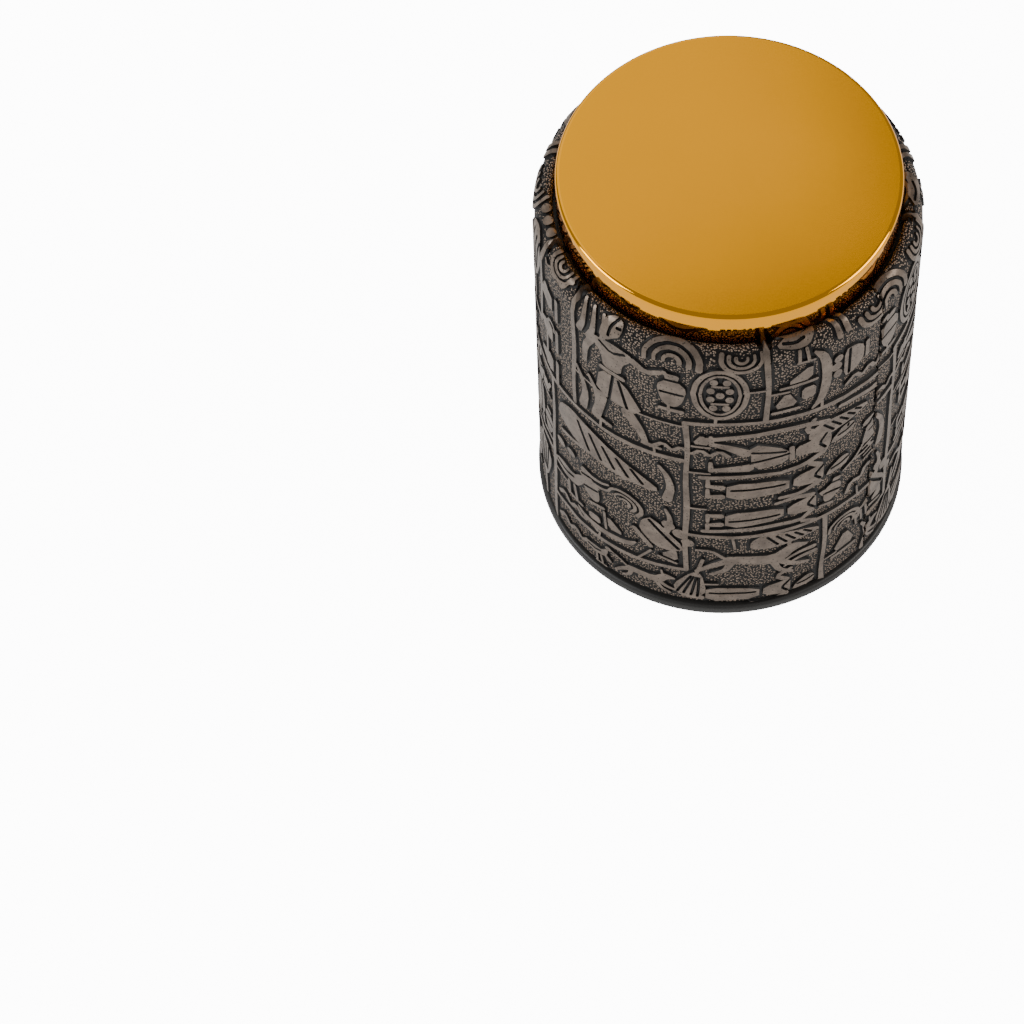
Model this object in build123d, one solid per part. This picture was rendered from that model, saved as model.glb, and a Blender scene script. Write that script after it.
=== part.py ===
from build123d import *
import os

# Leather dice cup, standing mouth down on its loose tray. Millimetres, +Z up.
# The origin is the centre of the tray's underside, the front faces -Y, and every
# piece is round about Z. Concentric pieces that are glued keep one glue line apart.

# ---- Driving dimensions ----
overall_height = 108.5
leather_radius = 40.0      # outside of the leather wall
shoulder_width = 4.8       # leather that shows round the metal cap, seen from above

glue_line = 0.1
leather_thickness = 1.0
foam_thickness = 1.5
shell_wall = 2.3
felt_thickness = 1.1
board_thickness = 1.5

cap_stand = 7.3            # the cap's top above the crest of the leather shoulder
cap_thickness = 1.0
cap_edge_radius = 0.9
cap_bond_thickness = 0.8
cap_bond_margin = 1.0      # the bond pad stops this far inside the neck's edge
tuck_depth = 3.8           # the leather's turned edge goes this far down beside the cap
tuck_gap = 0.15
skirt_gap = 0.3            # between the cap's skirt and the shell's shoulder
shoulder_drop = 6.0        # the leather's shoulder curves down to the wall over this height
crest_radius = 1.35        # rounding where the leather turns down to the cap
seam_gap = 0.25            # between the leather's two butted ends
seam_angle = 48.0          # the seam is this far to the right of the front, degrees

flange_overhang = 0.3      # the tray's flange beyond the leather
flange_thickness = 2.6
flange_top_radius = 0.8
flange_bottom_radius = 0.4
leather_lift = 1.2         # the leather's lower edge above the flange
foam_lift = 3.0
collar_height = 5.0
collar_wall = 1.8
collar_clearance = 0.25    # radial, between the tray's collar and the shell's mouth
collar_edge_radius = 0.5
rib_count = 6
rib_width = 1.6
rib_clearance = 0.06       # the grip ribs stop this far short of the shell's mouth
rib_headroom = 1.0         # the ribs end this far below the collar's top
mouth_lead_in = 0.5
tray_felt_thickness = 1.2
tray_felt_clearance = 0.3

foot_radius = 33.0
foot_thickness = 1.4
foot_proud = 0.5           # the pad stands out of its recess by this much
foot_clearance = 0.3
lining_gap = 0.6           # between the collar's top and the wall felt

# ---- Radii, from the leather inward ----
leather_inner = leather_radius - leather_thickness
foam_radius = leather_inner - glue_line
foam_inner = foam_radius - foam_thickness
shell_radius = foam_inner - glue_line
mouth_radius = shell_radius - shell_wall
lining_radius = mouth_radius - glue_line
chamber_radius = lining_radius - felt_thickness
cap_radius = leather_radius - shoulder_width
skirt_inner = cap_radius - cap_thickness
neck_radius = skirt_inner - glue_line
tuck_inner = cap_radius + tuck_gap
collar_radius = mouth_radius - collar_clearance
well_radius = collar_radius - collar_wall
flange_radius = leather_radius + flange_overhang

# ---- Heights, from the ground up and from the cap down ----
tray_floor = foot_proud + flange_thickness
collar_top = tray_floor + collar_height
leather_bottom = tray_floor + leather_lift
foam_bottom = tray_floor + foam_lift
crest = overall_height - cap_stand
shell_shoulder = crest - tuck_depth
neck_top = overall_height - cap_thickness - cap_bond_thickness
step_height = shell_shoulder - shell_wall
board_bottom = step_height - board_thickness
chamber_top = board_bottom - felt_thickness


def turned(*corners):
    """A solid of revolution. Each corner of its outline is (radius, height), and a
    third number rounds that corner."""
    outline = make_face(Polyline(*[corner[:2] for corner in corners], close=True))
    for corner in corners:
        if len(corner) == 3:
            point = outline.vertices().sort_by_distance((*corner[:2], 0))[0]
            outline = fillet(point, corner[2])
    return revolve(Plane.XZ * outline, Axis.Z)


def tube(inner, outer, low, high):
    return turned((inner, low), (outer, low), (outer, high), (inner, high))


def disc(radius, low, high):
    return turned((0, low), (radius, low), (radius, high), (0, high))


# ---- The tray: what the cup stands on, and what stays behind when it is lifted ----
def base_tray():
    """Moulded tray with a flange, a collar that enters the cup and grip ribs on it."""
    recess_top = foot_thickness
    recess_radius = foot_radius + foot_clearance
    body = turned(
        (0, recess_top),
        (recess_radius, recess_top),
        (recess_radius, foot_proud),
        (flange_radius, foot_proud, flange_bottom_radius),
        (flange_radius, tray_floor, flange_top_radius),
        (collar_radius, tray_floor),
        (collar_radius, collar_top, collar_edge_radius),
        (well_radius, collar_top, collar_edge_radius),
        (well_radius, tray_floor),
        (0, tray_floor),
    )
    rib_top = collar_top - rib_headroom
    rib_reach = mouth_radius - rib_clearance
    rib_ring = tube(collar_radius - collar_wall / 2, rib_reach, tray_floor, rib_top)
    for angle in [360 / rib_count * (i + 0.5) for i in range(rib_count)]:
        slot = Pos(leather_radius / 2, 0, collar_top / 2) * Box(leather_radius, rib_width, collar_top)
        body += rib_ring & (Rot(0, 0, angle) * slot)
    return body


def tray_felt():
    return disc(well_radius - tray_felt_clearance, tray_floor, tray_floor + tray_felt_thickness)


def tray_foot_pad():
    return disc(foot_radius, 0, foot_thickness)


# ---- The cup: lifts off the tray as one body ----
def cup_shell():
    """Moulded inner cup. Its mouth stands on the flange, and its closed end is a neck
    that the cap fits over."""
    return turned(
        (mouth_radius, tray_floor, mouth_lead_in),
        (shell_radius, tray_floor),
        (shell_radius, shell_shoulder),
        (neck_radius, shell_shoulder),
        (neck_radius, neck_top),
        (0, neck_top),
        (0, neck_top - shell_wall),
        (neck_radius - shell_wall, neck_top - shell_wall),
        (neck_radius - shell_wall, step_height),
        (mouth_radius, step_height),
    )


def rolled_outline(inset, wall_bottom):
    """The leather's outer outline less inset, from the shell's shoulder beside the cap,
    over the crest and down the wall: a small roll, a quarter of an ellipse, a line."""
    inner = tuck_inner + inset
    outer = leather_radius - inset
    roll = crest_radius - inset
    top = crest - inset
    wall_top = crest - shoulder_drop
    middle = (inner + roll, wall_top)
    shoulder = EllipticalCenterArc(middle, outer - inner - roll, top - wall_top, 0, arc_size=90)
    turn = RadiusArc((inner + roll, top), (inner, top - roll), -roll)
    tuck = Line((inner, top - roll), (inner, shell_shoulder))
    return Curve() + Line((outer, wall_bottom), (outer, wall_top)) + shoulder + turn + tuck


def foam_wrap():
    """Thin foam round the wall, rolled over the shell's shoulder."""
    inset = leather_thickness + glue_line
    back = Polyline(
        (tuck_inner + inset, shell_shoulder),
        (foam_inner, shell_shoulder),
        (foam_inner, foam_bottom),
        (foam_radius, foam_bottom),
    )
    section = make_face(rolled_outline(inset, foam_bottom) + back)
    return revolve(Plane.XZ * section, Axis.Z)


def leather_cover():
    """One strip round the wall, turned in over the shoulder and down beside the cap,
    with its two ends butted in an upright seam."""
    faces = rolled_outline(0, leather_bottom) + rolled_outline(leather_thickness, leather_bottom)
    tuck_end = tuck_inner + leather_thickness
    faces += Line((tuck_inner, shell_shoulder), (tuck_end, shell_shoulder))
    faces += Line((leather_inner, leather_bottom), (leather_radius, leather_bottom))
    strip = revolve(Plane.XZ * make_face(faces), Axis.Z)
    middle = Pos((tuck_inner + leather_radius) / 2, 0, overall_height / 2)
    seam = middle * Box(2 * shoulder_width, seam_gap, overall_height)
    return strip - Rot(0, 0, seam_angle - 90) * seam


def end_cap():
    """Drawn metal cap with a flat face and a skirt that runs down inside the leather."""
    skirt_bottom = shell_shoulder + skirt_gap
    inside_top = overall_height - cap_thickness
    return turned(
        (skirt_inner, skirt_bottom),
        (cap_radius, skirt_bottom),
        (cap_radius, overall_height, cap_edge_radius),
        (0, overall_height),
        (0, inside_top),
        (skirt_inner, inside_top),
    )


def cap_bond_pad():
    return disc(neck_radius - cap_bond_margin, neck_top, overall_height - cap_thickness)


def floor_board():
    return disc(lining_radius, board_bottom, step_height)


def floor_felt():
    return disc(lining_radius, chamber_top, board_bottom)


def wall_felt():
    return tube(chamber_radius, lining_radius, collar_top + lining_gap, chamber_top)


nodes = {
    "base_tray": base_tray,
    "tray_felt": tray_felt,
    "tray_foot_pad": tray_foot_pad,
    "cup_shell": cup_shell,
    "foam_wrap": foam_wrap,
    "leather_cover": leather_cover,
    "end_cap": end_cap,
    "cap_bond_pad": cap_bond_pad,
    "floor_board": floor_board,
    "floor_felt": floor_felt,
    "wall_felt": wall_felt,
}

os.makedirs("parts", exist_ok=True)
for name, make in nodes.items():
    export_step(make(), f"parts/{name}.step")

print("chamber", round(2 * chamber_radius, 2), "wide", round(chamber_top - tray_floor, 2), "deep")
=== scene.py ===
from bisect import bisect_right
from math import cos, hypot, pi, radians, sin

import bpy
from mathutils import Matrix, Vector
from mathutils.geometry import delaunay_2d_cdt


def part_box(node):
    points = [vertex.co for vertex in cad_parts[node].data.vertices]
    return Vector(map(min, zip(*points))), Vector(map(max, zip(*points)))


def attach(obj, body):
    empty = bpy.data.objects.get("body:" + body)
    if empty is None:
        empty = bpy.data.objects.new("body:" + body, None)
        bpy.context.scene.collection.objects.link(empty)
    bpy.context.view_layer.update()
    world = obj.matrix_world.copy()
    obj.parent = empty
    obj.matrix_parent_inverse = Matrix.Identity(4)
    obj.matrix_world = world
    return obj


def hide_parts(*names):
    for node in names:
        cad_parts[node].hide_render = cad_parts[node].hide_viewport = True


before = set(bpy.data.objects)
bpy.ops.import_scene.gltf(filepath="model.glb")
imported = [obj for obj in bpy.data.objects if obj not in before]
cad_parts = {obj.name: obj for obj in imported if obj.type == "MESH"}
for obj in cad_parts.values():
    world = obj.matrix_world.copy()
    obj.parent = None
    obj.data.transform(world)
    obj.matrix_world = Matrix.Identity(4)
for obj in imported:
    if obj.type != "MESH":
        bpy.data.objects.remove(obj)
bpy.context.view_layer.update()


# ---- Camera ----
# A long lens looking down on the cup from just left of its front, tipped by the degree
# or two that a hand-set camera is.
bpy.ops.object.camera_add(location=(-0.04677, -0.51776, 0.83312))
camera = bpy.context.object
camera.rotation_euler = (radians(31.255), radians(1.324), radians(-2.180))
camera.data.lens = 155.0
camera.data.sensor_width = 36
bpy.context.scene.camera = camera


# ---- Studio ----
# A white sweep that the camera sees burnt out. One large soft lamp hangs over its back,
# where the metal cap mirrors it, and one stands at each side to light the edges of the
# wrap. The rest of the room is dim.
MM = 0.001
SWEEP_DROP = 0.1 * MM                 # so that the foot pad doesn't share the floor's plane
BURNT_OUT = 12                        # strength of the sweep and the room to the camera
SWEEP_GLOW, ROOM_GLOW = 0.3, 0.32     # and to everything else
LAMPS_AIM = Vector((0, 0, 60 * MM))


def glow_by_ray(tree, strength, dim):
    """Makes a strength burnt out where the camera looks, and dim as a light."""
    ray = tree.nodes.new("ShaderNodeLightPath")
    glow = tree.nodes.new("ShaderNodeMapRange")
    glow.inputs["To Min"].default_value = dim
    glow.inputs["To Max"].default_value = BURNT_OUT
    tree.links.new(ray.outputs["Is Camera Ray"], glow.inputs["Value"])
    tree.links.new(glow.outputs["Result"], strength)


bpy.ops.mesh.primitive_plane_add(size=6, location=(0, 0, -SWEEP_DROP))
sweep = bpy.context.object
sweep.name = "white_sweep"

white = bpy.data.materials.new("white_paper")
white.use_nodes = True
paper = white.node_tree.nodes["Principled BSDF"]
paper.inputs["Base Color"].default_value = (0.8, 0.8, 0.8, 1)
paper.inputs["Roughness"].default_value = 0.8
paper.inputs["Emission Color"].default_value = (1, 1, 1, 1)
glow_by_ray(white.node_tree, paper.inputs["Emission Strength"], SWEEP_GLOW)
sweep.data.materials.append(white)

for spot, size, power, colour in (
    ((-0.45, 1.05, 1.1), 1.5, 5.4, (1, 0.98, 0.92)),
    ((-1.2, -0.25, 0.75), 0.7, 11.5, (1, 1, 1)),
    ((1.2, -0.2, 0.8), 0.8, 11, (1, 0.94, 0.88)),
):
    bpy.ops.object.light_add(type="AREA", location=spot)
    lamp = bpy.context.object
    lamp.rotation_euler = (Vector(spot) - LAMPS_AIM).to_track_quat("Z", "Y").to_euler()
    lamp.data.size = size
    lamp.data.energy = power
    lamp.data.color = colour

world = bpy.data.worlds.new("studio")
bpy.context.scene.world = world
world.use_nodes = True
room = world.node_tree.nodes["Background"]
room.inputs["Color"].default_value = (1, 1, 1, 1)
glow_by_ray(world.node_tree, room.inputs["Strength"], ROOM_GLOW)


# ---- Base tray ----
# The black tray that the cup stands on: injection-moulded ABS, turned all round, with a
# flange, a collar that enters the cup's mouth and six grip ribs. Satin, with a fine
# moulded texture and the light rubbing that a tray gets on its flange.
tray_low, tray_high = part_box("base_tray")
foot_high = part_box("tray_foot_pad")[1]
shell_low, shell_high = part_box("cup_shell")
well_low, well_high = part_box("tray_felt")
TURN_STEPS = 256                      # round every turned piece
BEVEL_STEPS = 5                       # round each of its rounded corners
SHARP = radians(30)                   # edges that bend more than this stay sharp

flange_radius = tray_high[0]
tray_floor = shell_low[2]
collar_top = tray_high[2]
collar_wall = 1.8 * MM
felt_play = 0.3 * MM                  # room round the felt in the collar
foot_play = 0.3 * MM                  # and round the pad in its recess
collar_radius = well_high[0] + felt_play + collar_wall


def turned(name, corners):
    """A piece spun from the outline that its (radius, height, rounding) corners give. An
    outline that reaches the axis is left open along it."""
    bpy.ops.object.select_all(action="DESELECT")
    bpy.ops.mesh.primitive_circle_add(vertices=len(corners), radius=0.01)
    piece = bpy.context.object
    piece.name = piece.data.name = name
    for vertex, corner in zip(piece.data.vertices, corners):
        vertex.co = (corner[0], 0, corner[1])
    bpy.ops.object.mode_set(mode="EDIT")
    bpy.ops.mesh.select_all(action="DESELECT")
    bpy.ops.mesh.select_mode(type="EDGE")
    bpy.ops.object.mode_set(mode="OBJECT")
    for edge in piece.data.edges:
        edge.select = all(piece.data.vertices[i].co.x == 0 for i in edge.vertices)
    bpy.ops.object.mode_set(mode="EDIT")
    bpy.ops.mesh.delete(type="EDGE")
    bpy.ops.mesh.select_mode(type="VERT")
    for radius, height, rounding in [c for c in corners if len(c) == 3]:
        bpy.ops.mesh.select_all(action="DESELECT")
        bpy.ops.object.mode_set(mode="OBJECT")
        for vertex in piece.data.vertices:
            vertex.select = (vertex.co - Vector((radius, 0, height))).length < 1e-7
        bpy.ops.object.mode_set(mode="EDIT")
        bpy.ops.mesh.bevel(offset=rounding, segments=BEVEL_STEPS, affect="VERTICES")
    bpy.ops.mesh.select_all(action="SELECT")
    bpy.ops.mesh.spin(steps=TURN_STEPS, angle=2 * pi, center=(0, 0, 0), axis=(0, 0, 1))
    bpy.ops.mesh.select_all(action="SELECT")
    bpy.ops.mesh.remove_doubles(threshold=1e-6)
    bpy.ops.mesh.normals_make_consistent(inside=False)
    bpy.ops.object.mode_set(mode="OBJECT")
    bpy.ops.object.shade_smooth_by_angle(angle=SHARP)
    return piece


def material(name, colour, roughness, metallic=0.0):
    """A new material, its nodes, its links and its Principled shader."""
    made = bpy.data.materials.new(name)
    made.use_nodes = True
    nodes, links = made.node_tree.nodes, made.node_tree.links
    shader = nodes["Principled BSDF"]
    shader.inputs["Base Color"].default_value = (*colour, 1)
    shader.inputs["Roughness"].default_value = roughness
    shader.inputs["Metallic"].default_value = metallic
    return made, nodes, links, shader


def node(nodes, links, kind, **inputs):
    """A new node. A keyword sets an attribute of the node, or one of its inputs by its
    name with underscores for spaces, to a value or to a link from another node."""
    new = nodes.new(kind)
    for key, value in inputs.items():
        label = key.replace("_", " ")
        if hasattr(new, key):
            setattr(new, key, value)
        elif isinstance(value, bpy.types.NodeSocket):
            links.new(value, new.inputs[label])
        else:
            new.inputs[label].default_value = value
    return new


tray = turned("tray_moulding", [
    (0, foot_high[2]),
    (foot_high[0] + foot_play, foot_high[2]),
    (foot_high[0] + foot_play, tray_low[2], 0.2 * MM),
    (flange_radius, tray_low[2], 0.4 * MM),
    (flange_radius, tray_floor, 0.8 * MM),
    (collar_radius, tray_floor, 0.25 * MM),
    (collar_radius, collar_top, 0.5 * MM),
    (collar_radius - collar_wall, collar_top, 0.5 * MM),
    (collar_radius - collar_wall, tray_floor, 0.25 * MM),
    (0, tray_floor),
])

# Six grip ribs on the collar, each a small block let into it with its edges rounded.
rib_count = 6
rib_width = 1.6 * MM
rib_play = 0.06 * MM                  # between a rib and the cup's mouth
mouth_radius = collar_radius + 0.25 * MM
rib_height = collar_top - 1 * MM - tray_floor
middle = collar_radius - 0.2 * MM
for i in range(rib_count):
    angle = 2 * pi * (i + 0.5) / rib_count
    at = (middle * cos(angle), middle * sin(angle), tray_floor + rib_height / 2)
    bpy.ops.mesh.primitive_cube_add(size=1, location=at, rotation=(0, 0, angle))
    rib = bpy.context.object
    rib.scale = (2 * (mouth_radius - rib_play - middle), rib_width, rib_height)
    bpy.ops.object.transform_apply(location=True, rotation=True, scale=True)
    bpy.ops.object.mode_set(mode="EDIT")
    bpy.ops.mesh.select_all(action="SELECT")
    bpy.ops.mesh.bevel(offset=0.12 * MM, segments=3)
    bpy.ops.object.mode_set(mode="OBJECT")
    tray.select_set(True)
    bpy.context.view_layer.objects.active = tray
    bpy.ops.object.join()
bpy.ops.object.shade_smooth_by_angle(angle=SHARP)

black_abs, nodes, links, shader = material("black_moulding", (0.022, 0.021, 0.020), 0.42)
place_on = node(nodes, links, "ShaderNodeTexCoord").outputs["Object"]
rubbing = node(nodes, links, "ShaderNodeTexNoise", Vector=place_on, Scale=90, Detail=4)
rough = node(nodes, links, "ShaderNodeMapRange", Value=rubbing.outputs["Fac"], To_Min=0.34, To_Max=0.56)
links.new(rough.outputs["Result"], shader.inputs["Roughness"])
grain = node(nodes, links, "ShaderNodeTexNoise", Vector=place_on, Scale=2600, Detail=2)
bump = node(nodes, links, "ShaderNodeBump", Height=grain.outputs["Fac"], Strength=0.25, Distance=0.03 * MM)
links.new(bump.outputs["Normal"], shader.inputs["Normal"])
tray.data.materials.append(black_abs)
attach(tray, "tray")
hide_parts("base_tray")


# ---- Anti-slip foot pad ----
# A disc of black foamed rubber, die cut and stuck in the recess under the tray so that
# half a millimetre of it stands proud. Matt, with fine open pores; its colour darkens
# towards each pore's centre as painted shade in the hollows.
foot = turned("foot_disc", [
    (0, 0),
    (foot_high[0], 0, 0.25 * MM),
    (foot_high[0], foot_high[2]),
    (0, foot_high[2]),
])
rubber, nodes, links, shader = material("foamed_rubber", (0.018, 0.018, 0.019), 0.92)
place_on = node(nodes, links, "ShaderNodeTexCoord").outputs["Object"]
pores = node(nodes, links, "ShaderNodeTexVoronoi", Vector=place_on, Scale=1500)
# Painted shade: the colour is darkest at each pore's centre, where the hollow is shaded.
shade = node(nodes, links, "ShaderNodeValToRGB", Fac=pores.outputs["Distance"])
shade.color_ramp.elements[0].color = (0.008, 0.008, 0.008, 1)
shade.color_ramp.elements[1].color = (0.03, 0.03, 0.031, 1)
links.new(shade.outputs["Color"], shader.inputs["Base Color"])
bump = node(nodes, links, "ShaderNodeBump", Height=pores.outputs["Distance"],
            Strength=0.6, Distance=0.1 * MM)
links.new(bump.outputs["Normal"], shader.inputs["Normal"])
foot.data.materials.append(rubber)
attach(foot, "tray")
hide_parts("tray_foot_pad")


# ---- Felt linings ----
# Deep red wool-mix felt, die cut: a disc in the tray's well, a disc at the cup's closed
# end and a sleeve glued round its wall. Short matted fibres, a little fuzzy at the edges.
felt, nodes, links, shader = material("red_felt", (0.16, 0.008, 0.014), 0.95)
shader.inputs["Sheen Weight"].default_value = 0.6
shader.inputs["Sheen Roughness"].default_value = 0.5
shader.inputs["Sheen Tint"].default_value = (0.9, 0.45, 0.45, 1)
place_on = node(nodes, links, "ShaderNodeTexCoord").outputs["Object"]
fibres = node(nodes, links, "ShaderNodeTexNoise", Vector=place_on, Scale=1900, Detail=5, Distortion=2.2)
clouds = node(nodes, links, "ShaderNodeTexNoise", Vector=place_on, Scale=120, Detail=3)
both = node(nodes, links, "ShaderNodeMath", operation="ADD")
links.new(fibres.outputs["Fac"], both.inputs[0])
links.new(clouds.outputs["Fac"], both.inputs[1])
shade = node(nodes, links, "ShaderNodeValToRGB")
links.new(both.outputs["Value"], shade.inputs["Fac"])
shade.color_ramp.elements[0].position = 0.55
shade.color_ramp.elements[0].color = (0.085, 0.004, 0.008, 1)
shade.color_ramp.elements[1].position = 1.0
shade.color_ramp.elements[1].color = (0.25, 0.014, 0.024, 1)
links.new(shade.outputs["Color"], shader.inputs["Base Color"])
bump = node(nodes, links, "ShaderNodeBump", Height=fibres.outputs["Fac"], Strength=0.7, Distance=0.14 * MM)
links.new(bump.outputs["Normal"], shader.inputs["Normal"])

board_low, board_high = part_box("floor_board")
end_low, end_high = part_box("floor_felt")
sleeve_low, sleeve_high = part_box("wall_felt")
for name, cad_node, body, low, high, rests_on in (
    ("tray_felt_disc", "tray_felt", "tray", well_low, well_high, "tray_moulding"),
    ("end_felt_disc", "floor_felt", "cup", end_low, end_high, "floor_board"),
):
    felt_disc = turned(name, [
        (0, low[2]),
        (high[0], low[2], 0.25 * MM),
        (high[0], high[2], 0.35 * MM),
        (0, high[2]),
    ])
    felt_disc.data.materials.append(felt)
    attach(felt_disc, body)
    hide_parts(cad_node)

felt_thickness = end_high[2] - end_low[2]
sleeve = turned("felt_sleeve", [
    (sleeve_high[0] - felt_thickness, sleeve_low[2], 0.35 * MM),
    (sleeve_high[0], sleeve_low[2], 0.25 * MM),
    (sleeve_high[0], sleeve_high[2]),
    (sleeve_high[0] - felt_thickness, sleeve_high[2]),
])
sleeve.data.materials.append(felt)
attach(sleeve, "cup")
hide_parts("wall_felt")


# ---- Floor board ----
# A disc of grey board that the end felt is glued to. It closes the chamber under the
# shell's hollow neck. Pressed paper fibre, mottled in tone.
board = turned("board_disc", [
    (0, board_low[2]),
    (board_high[0], board_low[2], 0.15 * MM),
    (board_high[0], board_high[2], 0.15 * MM),
    (0, board_high[2]),
])
grey, nodes, links, shader = material("grey_board", (0.36, 0.33, 0.29), 0.9)
place_on = node(nodes, links, "ShaderNodeTexCoord").outputs["Object"]
pulp = node(nodes, links, "ShaderNodeTexNoise", Vector=place_on, Scale=700, Detail=6, Distortion=1.5)
shade = node(nodes, links, "ShaderNodeValToRGB", Fac=pulp.outputs["Fac"])
shade.color_ramp.elements[0].color = (0.26, 0.235, 0.2, 1)
shade.color_ramp.elements[1].color = (0.46, 0.43, 0.385, 1)
links.new(shade.outputs["Color"], shader.inputs["Base Color"])
board.data.materials.append(grey)
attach(board, "cup")
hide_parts("floor_board")


# ---- Cup shell ----
# The stiff inner cup, moulded in the same black ABS: a straight wall whose mouth stands
# on the tray, a step at the closed end, and a hollow neck that carries the metal cap.
shell_wall = 2.3 * MM
shell_radius = shell_high[0]
shoulder = board_high[2] + shell_wall
neck_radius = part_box("cap_bond_pad")[1][0] + 1 * MM
neck_top = shell_high[2]
shell = turned("moulded_shell", [
    (shell_radius - shell_wall, shell_low[2], 0.5 * MM),
    (shell_radius, shell_low[2], 0.3 * MM),
    (shell_radius, shoulder),
    (neck_radius, shoulder),
    (neck_radius, neck_top, 0.4 * MM),
    (0, neck_top),
    (0, neck_top - shell_wall),
    (neck_radius - shell_wall, neck_top - shell_wall),
    (neck_radius - shell_wall, board_high[2]),
    (shell_radius - shell_wall, board_high[2]),
])
shell.data.materials.append(black_abs)
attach(shell, "cup")
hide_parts("cup_shell")


# ---- Leather cover ----
# One strip of embossed leather wrapped round the padded wall and turned in beside the
# cap, its ends butted in an upright seam. A heated roller has pressed a frieze into it:
# flat raised figures and panel lines on a pebbled ground, the tops wiped with bronze.
leather_low, leather_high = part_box("leather_cover")
cap_low, cap_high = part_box("end_cap")

WALL_RADIUS = leather_high[0] / MM
HEM = leather_low[2] / MM             # height of the strip's lower edge
CREST = leather_high[2] / MM
TUCK_RADIUS = cap_high[0] / MM + 0.15
ROLL = 1.35                           # rounding from the crest down to the cap
DROP = 6.0                            # the shoulder curves down to the wall over this
TUCK_END = cap_low[2] / MM - 0.3
RELIEF = 0.42                         # raised figures above the ground
SEAM = 48 / 180 * pi * WALL_RADIUS    # along the wall, from the front to the seam
ROUND_WALL = 2 * pi * WALL_RADIUS
REPEAT = 0.4 * ROUND_WALL             # the roller's pattern comes again after this
SHOULDER_STEPS, ROLL_STEPS = 16, 8    # of the section's two curves

# The line that the strip follows in section, from its hem up the wall and over the
# shoulder to its tucked end: points of (radius, height) and the length along it.
section = [(WALL_RADIUS, HEM), (WALL_RADIUS, CREST - DROP)]
reach = WALL_RADIUS - TUCK_RADIUS - ROLL
for i in range(1, SHOULDER_STEPS + 1):
    turn = i / SHOULDER_STEPS * pi / 2
    section.append((WALL_RADIUS - reach + reach * cos(turn), CREST - DROP + DROP * sin(turn)))
for i in range(1, ROLL_STEPS + 1):
    turn = i / ROLL_STEPS * pi / 2
    section.append((TUCK_RADIUS + ROLL - ROLL * sin(turn), CREST - ROLL + ROLL * cos(turn)))
section.append((TUCK_RADIUS, TUCK_END))
along = [HEM]
for (r0, z0), (r1, z1) in zip(section, section[1:]):
    along.append(along[-1] + hypot(r1 - r0, z1 - z0))
STRIP_TOP = along[-1]


def wrapped(s, v, lift):
    """Where a point of the flat strip goes: s along the wall from the front, v up the
    strip, lift above its outer face. All in mm; the result is in metres."""
    i = min(max(bisect_right(along, v) - 1, 0), len(section) - 2)
    (r0, z0), (r1, z1) = section[i], section[i + 1]
    run = along[i + 1] - along[i]
    t = (v - along[i]) / run
    lead, rise = (r1 - r0) / run, (z1 - z0) / run
    radius = r0 + (r1 - r0) * t + rise * lift
    height = z0 + (z1 - z0) * t - lead * lift
    angle = s / WALL_RADIUS - pi / 2
    return Vector((radius * cos(angle), radius * sin(angle), height)) * MM


def softened(points, closed):
    """The line with its corners cut off, as an engraver rounds them."""
    pairs = zip(points, points[1:] + points[:1] if closed else points[1:])
    cut = [tuple(p + (q - p) * t for p, q in zip(a, b)) for a, b in pairs for t in (0.2, 0.8)]
    return cut if closed else [points[0], *cut, points[-1]]


def bar_outline(points, grow):
    """The closed outline of a bar whose points are (x, y, width), moved out by grow."""
    sides = {1: [], -1: []}
    last = len(points) - 1
    for i, (x, y, width) in enumerate(points):
        x0, y0 = points[max(i - 1, 0)][:2]
        x1, y1 = points[min(i + 1, last)][:2]
        size = hypot(x1 - x0, y1 - y0)
        dx, dy = (x1 - x0) / size, (y1 - y0) / size
        half = width / 2 + grow
        for side in sides:
            corner = (x - side * dy * half, y + side * dx * half)
            out = half * 0.7 * ((i == last) - (i == 0))
            tip = (x - side * dy * half * 0.5 + dx * out, y + side * dx * half * 0.5 + dy * out)
            sides[side] += [tip, corner] if i == 0 else [corner, tip] if i == last else [corner]
    return sides[1] + sides[-1][::-1]


def leaf_outline(points, grow):
    """A closed outline moved out by grow."""
    area = sum(a[0] * b[1] - b[0] * a[1] for a, b in zip(points, points[1:] + points[:1]))
    way = 1 if area > 0 else -1
    moved = []
    for a, b, c in zip(points[-1:] + points[:-1], points, points[1:] + points[:1]):
        before = Vector((b[1] - a[1], a[0] - b[0])).normalized() * way
        after = Vector((c[1] - b[1], b[0] - c[0])).normalized() * way
        out = (before + after) / max(1 + before.dot(after), 0.85)
        moved.append((b[0] + out.x * grow, b[1] + out.y * grow))
    return moved


# How far each outline of a figure stands out from the line it is drawn with: the flat
# bronze top, the foot of its slope, and the smooth dark border that the pebbles stop at.
TOP_EDGE, FOOT_EDGE, BORDER = 0.06, 0.25, 0.76
CUT_FOOT, CUT_TOP = -0.02, 0.2        # the same for a groove cut into a figure

raised, grooves = [], []


def mark(kind, points, at=(0, 0), turn=0, size=1, mirror=1):
    """Draws one mark of a figure on the strip: "bar" or "groove" with points (x, y,
    width), or "leaf" with points (x, y)."""
    c, s = cos(radians(turn)) * size, sin(radians(turn)) * size
    placed = []
    for x, y, *width in points:
        x *= mirror
        placed.append((at[0] + x * c - y * s, at[1] + x * s + y * c, *[w * size for w in width]))
    (grooves if kind == "groove" else raised).append((kind, placed))


def bar(width, *points, end=None):
    """A bar of one width, or tapering to another at its end."""
    end = width if end is None else end
    n = len(points) - 1
    return "bar", [(x, y, width + (end - width) * i / n) for i, (x, y) in enumerate(points)]


def groove(width, *points):
    return "groove", [(x, y, width) for x, y in points]


def leaf(*points):
    return "leaf", list(points)


def ring(x, y, rx, ry, width):
    """A closed loop, as two bars that overlap at their ends."""
    halves = []
    for start in (0, pi):
        turns = [start + pi * i / 7 for i in range(8)]
        halves.append(bar(width, *[(x + rx * cos(t), y + ry * sin(t)) for t in turns]))
    return halves


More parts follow.
